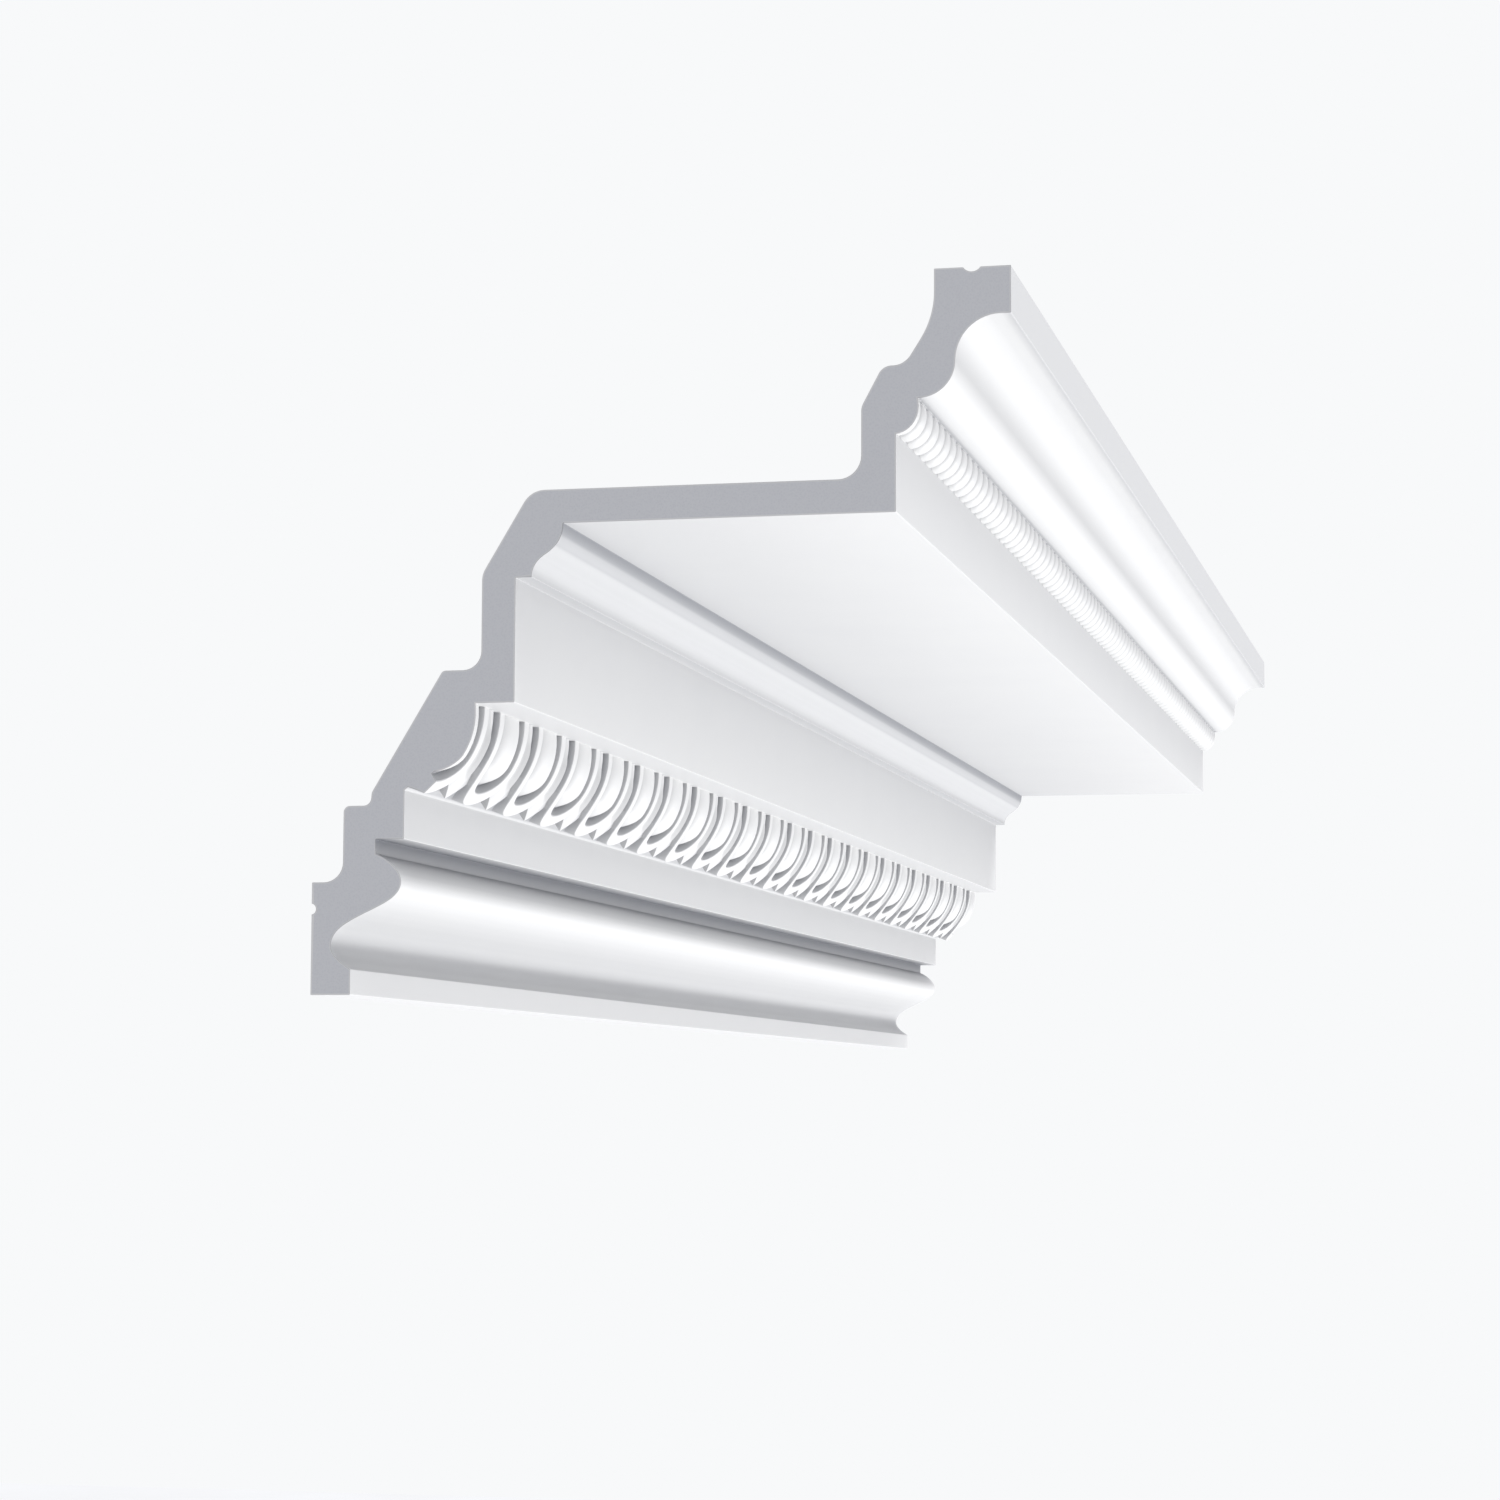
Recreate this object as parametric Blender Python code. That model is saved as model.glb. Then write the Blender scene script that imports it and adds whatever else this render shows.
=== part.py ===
import math

import bmesh
import bpy
import numpy as np

# One length of ceiling cornice, cast in rigid foam and cut square at both ends.
# X runs along the length, +Y points to the wall, +Z points to the ceiling.
# The section is drawn as (out, up): out is the distance from the wall face,
# up is the height above the bottom edge. All sizes are in metres.

# Overall
LENGTH = 1.1
PROJECTION = 0.244
HEIGHT = 0.244
ORIGIN_UP = 0.014

# Top fillet and the large cyma under the ceiling
TOP_FILLET_DROP = 0.0163
CYMA_HOLLOW_RADIUS = 0.0154
CYMA_ROUND_RADIUS = 0.0124
CYMA_WAIST_OUT = PROJECTION - 0.019
CYMA_WAIST_UP = HEIGHT - TOP_FILLET_DROP - CYMA_HOLLOW_RADIUS
CYMA_FOOT_UP = CYMA_WAIST_UP - CYMA_ROUND_RADIUS

# Bead row
BEAD_REPEAT = 0.0125
FIRST_BEAD_OFFSET = 0.0013
BEAD_CENTRE_OUT = PROJECTION - 0.0398
BEAD_CENTRE_UP = CYMA_FOOT_UP - 0.0027
BEAD_REACH_OUT = 0.0083
BEAD_REACH_DOWN = 0.0093
BEAD_REACH_ALONG = 0.0086
BEAD_COLUMNS = 4
BEAD_ROWS = 4

# Upper fascia and soffit
UPPER_FASCIA_OUT = PROJECTION - 0.0393
SOFFIT_UP = 0.1613
SOFFIT_INNER_OUT = 0.0888

# Small cyma and middle fascia
SMALL_CYMA_FOOT_OUT = 0.0777
MIDDLE_FASCIA_OUT = 0.072
MIDDLE_FASCIA_TOP = 0.1429
MIDDLE_FASCIA_BOTTOM = 0.0998

# Smooth path of the small cyma: a point, two handles, the next point and so on
SMALL_CYMA_PATH = (
    (SMALL_CYMA_FOOT_OUT, MIDDLE_FASCIA_TOP),
    (SMALL_CYMA_FOOT_OUT, 0.1466), (0.0799, 0.1491), (0.0825, 0.1507),
    (0.0859, 0.1528), (SOFFIT_INNER_OUT, 0.1559), (SOFFIT_INNER_OUT, SOFFIT_UP),
)

# Ovolo that carries the eggs and darts
OVOLO_RADIUS = 0.033
OVOLO_AXIS_OUT = 0.0251
OVOLO_END_ANGLE = math.radians(70.5)
EGG_REPEAT = 0.05
FIRST_EGG_OFFSET = -0.0015
SHELL_WAIST_DOWN = 0.0205
STRAIGHT_ROWS = 4
ROUND_STEPS = 4

# Shell and egg, half widths at the top and at the waist, reach below the waist
SHELL_OUTER = (0.01865, 0.0174, 0.017)
SHELL_INNER = (0.0125, 0.0129, 0.0127)
SHELL_DRAFT = 0.0003
SHELL_LIP = 0.0012
GROUND_DEPTH = 0.0022
EGG_RINGS = (0.5, 0.82)
EGG_BELLY = 0.0009
EGG_SIDE_DEPTH = 0.0026
EGG_FOOT_DEPTH = 0.0031
EGG_SIDE_POWER = 2.4
EGG_FOOT_POWER = 1.1

# Dart
DART_CREST_DEPTH = 0.0008
DART_FACET_WIDTH = 0.0027
DART_FACET_DEPTH = 0.0018
DART_PIT_DEPTH = 0.0026
DART_POINT_DOWN = 0.0285
BARB_DEPTH = 0.0005
BARB_FOOT_ANGLE = math.radians(29)
ARROW_TIP_DOWN = 0.0368
ARROW_TIP_RISE = 0.0006

# Lower fascia with the small quirk above it, step back and fillet
QUIRK_OUT = 0.0343
QUIRK_UP = 0.0713
LOWER_FASCIA_OUT = 0.033
LOWER_FASCIA_TOP = 0.0703
LOWER_FASCIA_BOTTOM = 0.0534
STEP_OUT = 0.0229
STEP_BOTTOM = 0.0484

# Nose, hollow and bottom fillet
NOSE_OUT = 0.0322
HOLLOW_OUT = 0.0071
BOTTOM_FILLET_OUT = 0.0143
BOTTOM_FILLET_TOP = 0.0088

# Smooth path from the bottom fillet through the hollow and round the nose to the step
NOSE_PATH = (
    (BOTTOM_FILLET_OUT, BOTTOM_FILLET_TOP),
    (0.0102, 0.0115), (HOLLOW_OUT, 0.0139), (HOLLOW_OUT, 0.0169),
    (HOLLOW_OUT, 0.0223), (0.0128, 0.025), (0.02, 0.0284),
    (0.027, 0.0316), (NOSE_OUT, 0.034), (NOSE_OUT, 0.0389),
    (NOSE_OUT, 0.0424), (0.0271, 0.0469), (STEP_OUT, STEP_BOTTOM),
)

# Back of the casting, faces that touch the ceiling and the wall
CEILING_FACE_INNER_OUT = PROJECTION - 0.0262
WALL_FACE_TOP = 0.0388
CEILING_GROOVE_OUT = PROJECTION - 0.0133
CEILING_GROOVE_HALF_WIDTH = 0.003
WALL_GROOVE_UP = 0.0296
WALL_GROOVE_HALF_WIDTH = 0.0019
GROOVE_DEPTH = 0.0016

# Hollow back, corners as (out, up, rounding radius) from the ceiling down
BACK_STEP_UP = HEIGHT - 0.0326
BACK_FASCIA_OUT = UPPER_FASCIA_OUT - 0.0119
BACK_SOFFIT_UP = SOFFIT_UP + 0.0118
BACK_MIDDLE_OUT = MIDDLE_FASCIA_OUT - 0.012
BACK_MIDDLE_BOTTOM = MIDDLE_FASCIA_BOTTOM + 0.0115
BACK_FOOT_OUT = 0.0111
BACK_FOOT_TOP = 0.0651
BACK_CORNERS = (
    (CEILING_FACE_INNER_OUT, HEIGHT - 0.0165, 0.03),
    (PROJECTION - 0.0364, BACK_STEP_UP, 0.007),
    (PROJECTION - 0.0438, BACK_STEP_UP, 0.005),
    (BACK_FASCIA_OUT, HEIGHT - 0.0464, 0.006),
    (BACK_FASCIA_OUT, BACK_SOFFIT_UP, 0.008),
    (SMALL_CYMA_FOOT_OUT - 0.0005, BACK_SOFFIT_UP, 0.0086),
    (BACK_MIDDLE_OUT, MIDDLE_FASCIA_TOP + 0.0015, 0.008),
    (BACK_MIDDLE_OUT, BACK_MIDDLE_BOTTOM, 0.0065),
    (0.0462, BACK_MIDDLE_BOTTOM, 0.002),
    (0.0212, BACK_FOOT_TOP + 0.0046, 0.003),
    (0.0208, BACK_FOOT_TOP, 0.0028),
    (BACK_FOOT_OUT, BACK_FOOT_TOP, 0.0022),
    (BACK_FOOT_OUT, WALL_FACE_TOP, 0.0068),
)


def smoothPath(path, steps):
    # one cubic curve from every third point to the next, weights (1-t)^3, 3t(1-t)^2, 3t^2(1-t), t^3
    t = np.linspace(0.0, 1.0, steps + 1)[:, None]
    points = [path[0]]
    for first in range(0, len(path) - 1, 3):
        a, b, c, d = (np.array(corner) for corner in path[first: first + 4])
        curve = a * (1 - t) ** 3 + b * 3 * t * (1 - t) ** 2 + c * 3 * t * t * (1 - t) + d * t ** 3
        points += [tuple(point) for point in curve[1:]]
    return points


def arc(centre, radius, startDegrees, endDegrees, steps):
    angles = np.radians(np.linspace(startDegrees, endDegrees, steps + 1))
    return [(centre[0] + radius * math.cos(a), centre[1] + radius * math.sin(a)) for a in angles]


def roundedCorner(before, corner, after, radius):
    towards = [np.subtract(other, corner) for other in (before, after)]
    towards = [line / np.linalg.norm(line) for line in towards]
    half = math.acos(float(np.dot(*towards))) / 2
    tangent = radius / math.tan(half)
    steps = max(2, round((math.pi - 2 * half) / math.radians(24)))
    centre = np.add(corner, (towards[0] + towards[1]) / (2 * math.cos(half)) * radius / math.sin(half))
    first = np.add(corner, towards[0] * tangent) - centre
    last = np.add(corner, towards[1] * tangent) - centre
    startAngle = math.atan2(first[1], first[0])
    turn = math.atan2(last[1], last[0]) - startAngle
    turn = (turn + math.pi) % (2 * math.pi) - math.pi
    angles = startAngle + turn * np.linspace(0.0, 1.0, steps + 1)
    return [(centre[0] + radius * math.cos(a), centre[1] + radius * math.sin(a)) for a in angles]


def grooveAcross(halfWidth, depth):
    # round groove as (along the face, into the face)
    radius = (halfWidth ** 2 + depth ** 2) / (2 * depth)
    sweep = math.degrees(math.asin(halfWidth / radius))
    return [(x, depth - radius - y) for x, y in arc((0, 0), radius, -90 - sweep, -90 + sweep, 4)]


def backOutline():
    start = (CEILING_FACE_INNER_OUT, HEIGHT)
    end = (0.0, WALL_FACE_TOP)
    path = [start] + [corner[:2] for corner in BACK_CORNERS] + [end]
    points = [start]
    for index, corner in enumerate(BACK_CORNERS):
        points += roundedCorner(path[index], corner[:2], path[index + 2], corner[2])
    return points + [end]


def cymaOutline():
    # from the bead row up to the top fillet: a round quarter, then a hollow quarter
    roundCentre = (CYMA_WAIST_OUT - CYMA_ROUND_RADIUS, CYMA_WAIST_UP)
    hollowCentre = (CYMA_WAIST_OUT + CYMA_HOLLOW_RADIUS, CYMA_WAIST_UP)
    lower = arc(roundCentre, CYMA_ROUND_RADIUS, -90, 0, 5)
    upper = arc(hollowCentre, CYMA_HOLLOW_RADIUS, 180, 90, 5)
    return lower + upper[1:]


def outerRun():
    # everything the bead row and the egg band don't touch, from bead row to lower fascia
    cyma = cymaOutline()
    filletBottom = HEIGHT - TOP_FILLET_DROP
    ceiling = [(PROJECTION, filletBottom), (PROJECTION, HEIGHT)]
    for along, into in grooveAcross(CEILING_GROOVE_HALF_WIDTH, GROOVE_DEPTH):
        ceiling.append((CEILING_GROOVE_OUT - along, HEIGHT - into))
    wall = []
    for along, into in grooveAcross(WALL_GROOVE_HALF_WIDTH, GROOVE_DEPTH):
        wall.append((into, WALL_GROOVE_UP - along))
    foot = [(0.0, 0.0), (BOTTOM_FILLET_OUT, 0.0)]
    step = [(STEP_OUT, LOWER_FASCIA_BOTTOM), (LOWER_FASCIA_OUT, LOWER_FASCIA_BOTTOM)]
    return cyma + ceiling + backOutline() + wall + foot + smoothPath(NOSE_PATH, 4) + step


class Surface:
    def __init__(self):
        self.mesh = bmesh.new()

    def line(self, points):
        return [self.mesh.verts.new(point) for point in points]

    def stitch(self, first, second):
        # triangles between two lines of vertices, always taking the shorter diagonal
        i = 0
        j = 0
        while i < len(first) - 1 or j < len(second) - 1:
            firstMove = math.inf
            secondMove = math.inf
            if i < len(first) - 1:
                firstMove = (first[i + 1].co - second[j].co).length
            if j < len(second) - 1:
                secondMove = (second[j + 1].co - first[i].co).length
            if firstMove <= secondMove:
                self.face(first[i], first[i + 1], second[j])
                i += 1
            else:
                self.face(first[i], second[j + 1], second[j])
                j += 1

    def face(self, *corners):
        if len(set(corners)) > 2:
            self.mesh.faces.new(corners)

    def flatStrip(self, carved, stations):
        # flat faces between a carved edge and a straight edge, one from each station to the next
        for first, last in zip(stations, stations[1:]):
            between = [v for v in carved if first.co.x - 1e-6 < v.co.x < last.co.x + 1e-6]
            self.face(first, *between, last)


def place(along, out, up):
    return (along, -out, up - ORIGIN_UP)


def onOvolo(along, down, level):
    angle = down / OVOLO_RADIUS
    reach = OVOLO_RADIUS + level
    out = OVOLO_AXIS_OUT + reach * math.cos(angle)
    return place(along, out, MIDDLE_FASCIA_BOTTOM - reach * math.sin(angle))


def shellLine(sizes, grow, spread):
    # (across, down) from the top of the band to the bottom of the shell's U
    top, waist, reach = (size + grow for size in sizes)
    points = []
    for share in np.linspace(0.0, 1.0, STRAIGHT_ROWS + 1):
        points.append((top + (waist - top) * share, SHELL_WAIST_DOWN * share))
    for angle in np.linspace(0.0, math.pi / 2, ROUND_STEPS + 1)[1:]:
        down = reach * math.sin(angle) + spread * math.sin(angle) ** 6
        points.append((waist * math.cos(angle), SHELL_WAIST_DOWN + down))
    return points


def roundShare(index):
    # 0 along the straight sides, up to 1 at the bottom of the U
    turn = max(0, index - STRAIGHT_ROWS) / ROUND_STEPS
    return math.sin(turn * math.pi / 2) ** 2


def eggLines():
    rim = shellLine(SHELL_INNER, -SHELL_DRAFT, 0.0)
    belly = []
    spine = []
    for across, down in rim:
        onSpine = min(down, SHELL_WAIST_DOWN)
        belly.append(EGG_BELLY * math.sin(math.pi * onSpine / (SHELL_WAIST_DOWN * 1.1)))
        spine.append((0.0, onSpine, belly[-1]))
    lines = [spine]
    for share in EGG_RINGS + (1.0,):
        ring = []
        for index, (across, down) in enumerate(rim):
            side = roundShare(index)
            edge = -EGG_SIDE_DEPTH - (EGG_FOOT_DEPTH - EGG_SIDE_DEPTH) * side
            power = EGG_SIDE_POWER + (EGG_FOOT_POWER - EGG_SIDE_POWER) * side
            level = belly[index] + (edge - belly[index]) * share ** power
            below = max(0.0, down - SHELL_WAIST_DOWN)
            ring.append((across * share, min(down, SHELL_WAIST_DOWN) + below * share, level))
        lines.append(ring)
    return lines


def bandHalf(surface, centre, side):
    def vertices(points):
        return surface.line([onOvolo(centre + side * across, down, level) for across, down, level in points])

    rows = STRAIGHT_ROWS
    inner = [(across, down, 0.0) for across, down in shellLine(SHELL_INNER, 0.0, 0.0)]
    outer = []
    foot = []
    for index, (across, down) in enumerate(shellLine(SHELL_OUTER, 0.0, 0.0)):
        outer.append((across, down, SHELL_LIP * roundShare(index)))
    for across, down in shellLine(SHELL_OUTER, SHELL_DRAFT, 0.0)[: rows + 1]:
        foot.append((across, down, -GROUND_DEPTH))
    endDown = OVOLO_END_ANGLE * OVOLO_RADIUS
    spread = endDown - SHELL_WAIST_DOWN - SHELL_OUTER[2] - SHELL_DRAFT
    lower = shellLine(SHELL_OUTER, SHELL_DRAFT, spread)[rows + 1:]
    waist = SHELL_OUTER[1] + SHELL_DRAFT
    barb = (lower[0][0], lower[0][1], -BARB_DEPTH)
    barbFoot = (
        waist * math.cos(BARB_FOOT_ANGLE),
        SHELL_WAIST_DOWN + waist * math.sin(BARB_FOOT_ANGLE),
        -GROUND_DEPTH,
    )
    foot[rows] = (foot[rows][0], foot[rows][1], -DART_PIT_DEPTH)
    foot += [barb, barbFoot] + [(across, down, -GROUND_DEPTH) for across, down in lower[1:]]

    rings = [vertices(line) for line in eggLines() + [inner, outer, foot]]
    for first, second in zip(rings, rings[1:]):
        surface.stitch(first, second)

    half = EGG_REPEAT / 2
    straight = np.linspace(0.0, SHELL_WAIST_DOWN, rows + 1)
    facet = vertices([(half - DART_FACET_WIDTH, down, -DART_FACET_DEPTH) for down in straight])
    crest = vertices([(half, down, -DART_CREST_DEPTH) for down in straight])
    shellFoot = rings[-1]
    surface.stitch(shellFoot[: rows + 1], facet)
    surface.stitch(facet, crest)

    point, tip, bottom = vertices([
        (half, DART_POINT_DOWN, -DART_CREST_DEPTH),
        (half, ARROW_TIP_DOWN, ARROW_TIP_RISE),
        (half, endDown, -GROUND_DEPTH),
    ])
    surface.face(facet[rows], crest[rows], point)
    surface.face(shellFoot[rows], facet[rows], point)
    surface.face(shellFoot[rows], point, shellFoot[rows + 1])
    surface.face(shellFoot[rows + 1], point, tip)
    surface.face(shellFoot[rows + 1], tip, bottom)
    for first, second in zip(shellFoot[rows + 1:], shellFoot[rows + 2:]):
        surface.face(first, bottom, second)
    topEdge = [ring[0] for ring in rings] + [facet[0], crest[0]]
    return topEdge, [shellFoot[-1], bottom]


def beadColumn(along, offset):
    # an ellipsoid cut off where it meets its neighbour, the cyma above and the fascia behind
    size = math.sqrt(1 - (offset / BEAD_REACH_ALONG) ** 2)
    top = math.asin((CYMA_FOOT_UP - BEAD_CENTRE_UP) / (BEAD_REACH_DOWN * size))
    bottom = -math.acos((UPPER_FASCIA_OUT - BEAD_CENTRE_OUT) / (BEAD_REACH_OUT * size))
    points = []
    for angle in np.linspace(top, bottom, BEAD_ROWS + 1):
        out = BEAD_CENTRE_OUT + BEAD_REACH_OUT * size * math.cos(angle)
        up = BEAD_CENTRE_UP + BEAD_REACH_DOWN * size * math.sin(angle)
        points.append(place(along + offset, out, up))
    return points


def sortedByLength(vertices):
    ordered = sorted(vertices, key=lambda vertex: vertex.co.x)
    kept = ordered[:1]
    for vertex in ordered[1:]:
        if vertex.co.x - kept[-1].co.x > 1e-6:
            kept.append(vertex)
    return kept


def build():
    surface = Surface()
    cells = round(LENGTH / EGG_REPEAT) + 1
    firstEgg = -LENGTH / 2 + FIRST_EGG_OFFSET
    start = firstEgg - EGG_REPEAT / 2
    end = start + cells * EGG_REPEAT
    stations = np.linspace(start, end, cells + 1)

    bandTop = []
    bandBottom = []
    for cell in range(cells):
        centre = firstEgg + cell * EGG_REPEAT
        for side in (-1, 1):
            top, bottom = bandHalf(surface, centre, side)
            bandTop += top
            bandBottom += bottom

    beadTop = []
    beadBottom = []
    firstBead = -LENGTH / 2 + FIRST_BEAD_OFFSET
    beadStations = stations - start + firstBead - BEAD_REPEAT / 2
    offsets = np.linspace(-BEAD_REPEAT / 2, BEAD_REPEAT / 2, BEAD_COLUMNS + 1)
    for bead in range(round(cells * EGG_REPEAT / BEAD_REPEAT)):
        along = firstBead + bead * BEAD_REPEAT
        columns = [surface.line(beadColumn(along, offset)) for offset in offsets]
        for first, second in zip(columns, columns[1:]):
            surface.stitch(first, second)
        beadTop += [column[0] for column in columns]
        beadBottom += [column[-1] for column in columns]

    def longLine(point, alongs):
        return surface.line([place(along, *point) for along in alongs])

    ends = (start, end)
    outer = outerRun()
    lines = [longLine(outer[0], beadStations)] + [longLine(point, ends) for point in outer[1:]]
    quirk = [(LOWER_FASCIA_OUT, LOWER_FASCIA_TOP), (QUIRK_OUT, QUIRK_UP)]
    lines += [longLine(point, stations) for point in quirk]
    middle = [longLine((MIDDLE_FASCIA_OUT, MIDDLE_FASCIA_BOTTOM), stations)]
    middle += [longLine((MIDDLE_FASCIA_OUT, MIDDLE_FASCIA_TOP), ends)]
    middle += [longLine(point, ends) for point in smoothPath(SMALL_CYMA_PATH, 4)]
    middle += [longLine((UPPER_FASCIA_OUT, SOFFIT_UP), beadStations)]
    for run in (lines, middle):
        for first, second in zip(run, run[1:]):
            surface.stitch(first, second)

    surface.flatStrip(sortedByLength(beadTop), lines[0])
    surface.flatStrip(sortedByLength(beadBottom), middle[-1])
    surface.flatStrip(sortedByLength(bandTop), middle[0])
    surface.flatStrip(sortedByLength(bandBottom), lines[-1])

    mesh = surface.mesh
    bmesh.ops.remove_doubles(mesh, verts=mesh.verts, dist=1e-6)
    bmesh.ops.triangulate(mesh, faces=mesh.faces)
    for x in (-LENGTH / 2, LENGTH / 2):
        everything = mesh.verts[:] + mesh.edges[:] + mesh.faces[:]
        outside = (math.copysign(1.0, x), 0.0, 0.0)
        cut = bmesh.ops.bisect_plane(
            mesh, geom=everything, dist=1e-7, plane_co=(x, 0.0, 0.0), plane_no=outside, clear_outer=True
        )
        rim = [item for item in cut["geom_cut"] if isinstance(item, bmesh.types.BMEdge)]
        bmesh.ops.contextual_create(mesh, geom=rim)
    bmesh.ops.triangulate(mesh, faces=[face for face in mesh.faces if len(face.verts) > 3])
    bmesh.ops.recalc_face_normals(mesh, faces=mesh.faces)
    return mesh


for old in list(bpy.data.objects):
    bpy.data.objects.remove(old)

data = bpy.data.meshes.new("cornice_length")
build().to_mesh(data)
cornice = bpy.data.objects.new("cornice_length", data)
bpy.context.scene.collection.objects.link(cornice)

primer = bpy.data.materials.new("white_primer")
primer.use_nodes = True
shader = primer.node_tree.nodes["Principled BSDF"]
shader.inputs["Base Color"].default_value = (0.86, 0.86, 0.85, 1.0)
shader.inputs["Roughness"].default_value = 0.6
data.materials.append(primer)
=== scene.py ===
import math

import bmesh
import bpy
import numpy as np
from mathutils import Matrix, Vector


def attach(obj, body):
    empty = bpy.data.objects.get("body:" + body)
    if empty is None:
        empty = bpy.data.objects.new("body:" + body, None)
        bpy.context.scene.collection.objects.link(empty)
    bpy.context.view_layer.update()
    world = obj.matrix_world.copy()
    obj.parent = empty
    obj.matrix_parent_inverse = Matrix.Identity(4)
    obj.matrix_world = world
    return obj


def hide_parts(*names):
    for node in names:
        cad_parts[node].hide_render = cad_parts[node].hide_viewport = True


# One length of ceiling cornice: moulded rigid foam with sprayed white primer, sawn square at both ends.
# The section is drawn in millimetres as (out, up): out from the wall face, up from the bottom edge.

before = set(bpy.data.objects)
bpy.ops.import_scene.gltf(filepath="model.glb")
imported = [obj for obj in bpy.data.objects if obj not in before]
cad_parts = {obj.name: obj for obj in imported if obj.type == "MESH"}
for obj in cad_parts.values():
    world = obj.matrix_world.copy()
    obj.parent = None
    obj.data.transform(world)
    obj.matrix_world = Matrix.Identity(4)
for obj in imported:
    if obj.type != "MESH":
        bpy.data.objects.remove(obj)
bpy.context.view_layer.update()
print("solid loaded")

mm = 0.001
length = 1100.0
originUp = 14.0   # the origin lies on the wall face this far above the bottom edge


def curve(points, steps):
    # a cubic curve from every third point to the next: a u^3 + 3b t u^2 + 3c t^2 u + d t^3, with u = 1 - t
    points = np.array(points, dtype=float)
    t = np.linspace(0.0, 1.0, steps + 1)[1:, None]
    pieces = [points[:1]]
    for first in range(0, len(points) - 1, 3):
        a, b, c, d = points[first: first + 4]
        u = 1 - t
        pieces.append(a * u ** 3 + 3 * b * t * u ** 2 + 3 * c * t ** 2 * u + d * t ** 3)
    return np.vstack(pieces)


def arc(centre, radius, start, end, steps):
    # points on a circle, angles in degrees from the out axis
    angles = np.radians(np.linspace(start, end, steps + 1))
    return np.array(centre) + radius * np.stack([np.cos(angles), np.sin(angles)], axis=1)


def rounded(outline, radii, steps):
    # each corner is replaced by the arc of its radius that touches both of its sides
    before, corner, after = outline[:-2], outline[1:-1], outline[2:]
    a = (before - corner) / np.linalg.norm(before - corner, axis=1)[:, None]
    b = (after - corner) / np.linalg.norm(after - corner, axis=1)[:, None]
    half = np.arccos(np.clip((a * b).sum(axis=1), -1, 1)) / 2
    middle = (a + b) / np.linalg.norm(a + b, axis=1)[:, None]
    centre = corner + middle * (radii / np.sin(half))[:, None]
    first = corner + a * (radii / np.tan(half))[:, None] - centre
    last = corner + b * (radii / np.tan(half))[:, None] - centre
    start = np.arctan2(first[:, 1], first[:, 0])
    turn = np.arctan2(last[:, 1], last[:, 0]) - start
    turn = (turn + math.pi) % (2 * math.pi) - math.pi
    angle = start[:, None] + turn[:, None] * np.linspace(0, 1, steps + 1)
    ring = np.stack([np.cos(angle), np.sin(angle)], axis=2) * np.reshape(radii, (-1, 1, 1))
    return np.vstack([outline[:1], (centre[:, None] + ring).reshape(-1, 2), outline[-1:]])


def softened(outline, reach, steps=4, sharpest=25, share=0.18, beyond=2.5):
    # every arris that turns more than sharpest degrees becomes a small curve, at most this share of its
    # sides, with a point a little beyond each of its ends
    before, corner, after = outline[:-2], outline[1:-1], outline[2:]
    toBefore, toAfter = before - corner, after - corner
    lengthA, lengthB = np.linalg.norm(toBefore, axis=1), np.linalg.norm(toAfter, axis=1)
    a, b = toBefore / lengthA[:, None], toAfter / lengthB[:, None]
    sharp = (a * b).sum(axis=1) > -math.cos(math.radians(sharpest))
    size = np.where(sharp, np.minimum(reach, share * np.minimum(lengthA, lengthB)), 0.0)[:, None, None]
    t = np.linspace(0, 1, steps + 1)[None, :, None]
    a, b, corner = a[:, None], b[:, None], corner[:, None]
    bend = (corner + a * size) * (1 - t) ** 2 + corner * 2 * t * (1 - t) + (corner + b * size) * t * t
    ends = corner + a * size * beyond, corner + b * size * beyond
    points = np.concatenate([ends[0], bend, ends[1]], axis=1).reshape(-1, 2)
    points = np.vstack([outline[:1], points, outline[-1:]])
    moved = np.linalg.norm(np.diff(points, axis=0), axis=1) > 1e-6
    return points[np.concatenate([[True], moved])]


def gridFaces(rows, columns):
    # quads of a grid of points counted row by row
    corner = (np.arange(rows - 1)[:, None] * columns + np.arange(columns - 1)).ravel()
    return np.stack([corner, corner + 1, corner + columns + 1, corner + columns], axis=1)


def place(along, out, up, paintedShade=0.0):
    # section millimetres to metres in the frame's axes; the painted shade value rides along as a fourth
    # number
    return np.stack(np.broadcast_arrays(along * mm, -out * mm, (up - originUp) * mm, paintedShade), axis=-1)


def shelter(points, loop, reach):
    # how closed in each point of the section is: of 48 directions a flat face has half free and gets 0,
    # and a point with none free within reach gets 1. A direction is blocked where it starts inside the
    # casting or meets a side of the section.
    angle = np.radians(np.arange(3.75, 360, 7.5))
    ray = np.stack([np.cos(angle), np.sin(angle)], axis=1)
    a, b = loop, np.roll(loop, -1, axis=0)
    side = b - a
    start = points[:, None] + ray * 0.05   # mm, just off the face
    x, y = start[..., 0, None], start[..., 1, None]
    level = np.where(np.abs(side[:, 1]) < 1e-9, 1e-9, side[:, 1])
    crossed = ((a[:, 1] > y) != (b[:, 1] > y)) & (x < a[:, 0] + (y - a[:, 1]) / level * side[:, 0])
    inside = crossed.sum(axis=2) % 2 == 1
    cross = ray[:, None, 0] * side[:, 1] - ray[:, None, 1] * side[:, 0]
    cross = np.where(np.abs(cross) < 1e-9, 1e-9, cross)
    gapX, gapY = a[:, 0] - x, a[:, 1] - y
    distance = (gapX * side[:, 1] - gapY * side[:, 0]) / cross
    share = (gapX * ray[:, None, 1] - gapY * ray[:, None, 0]) / cross
    hit = (distance > 0) & (distance < reach) & (share >= 0) & (share <= 1)
    free = 1 - (inside | hit.any(axis=2)).mean(axis=1)
    return np.clip(1 - free / 0.5, 0, 1)


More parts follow.
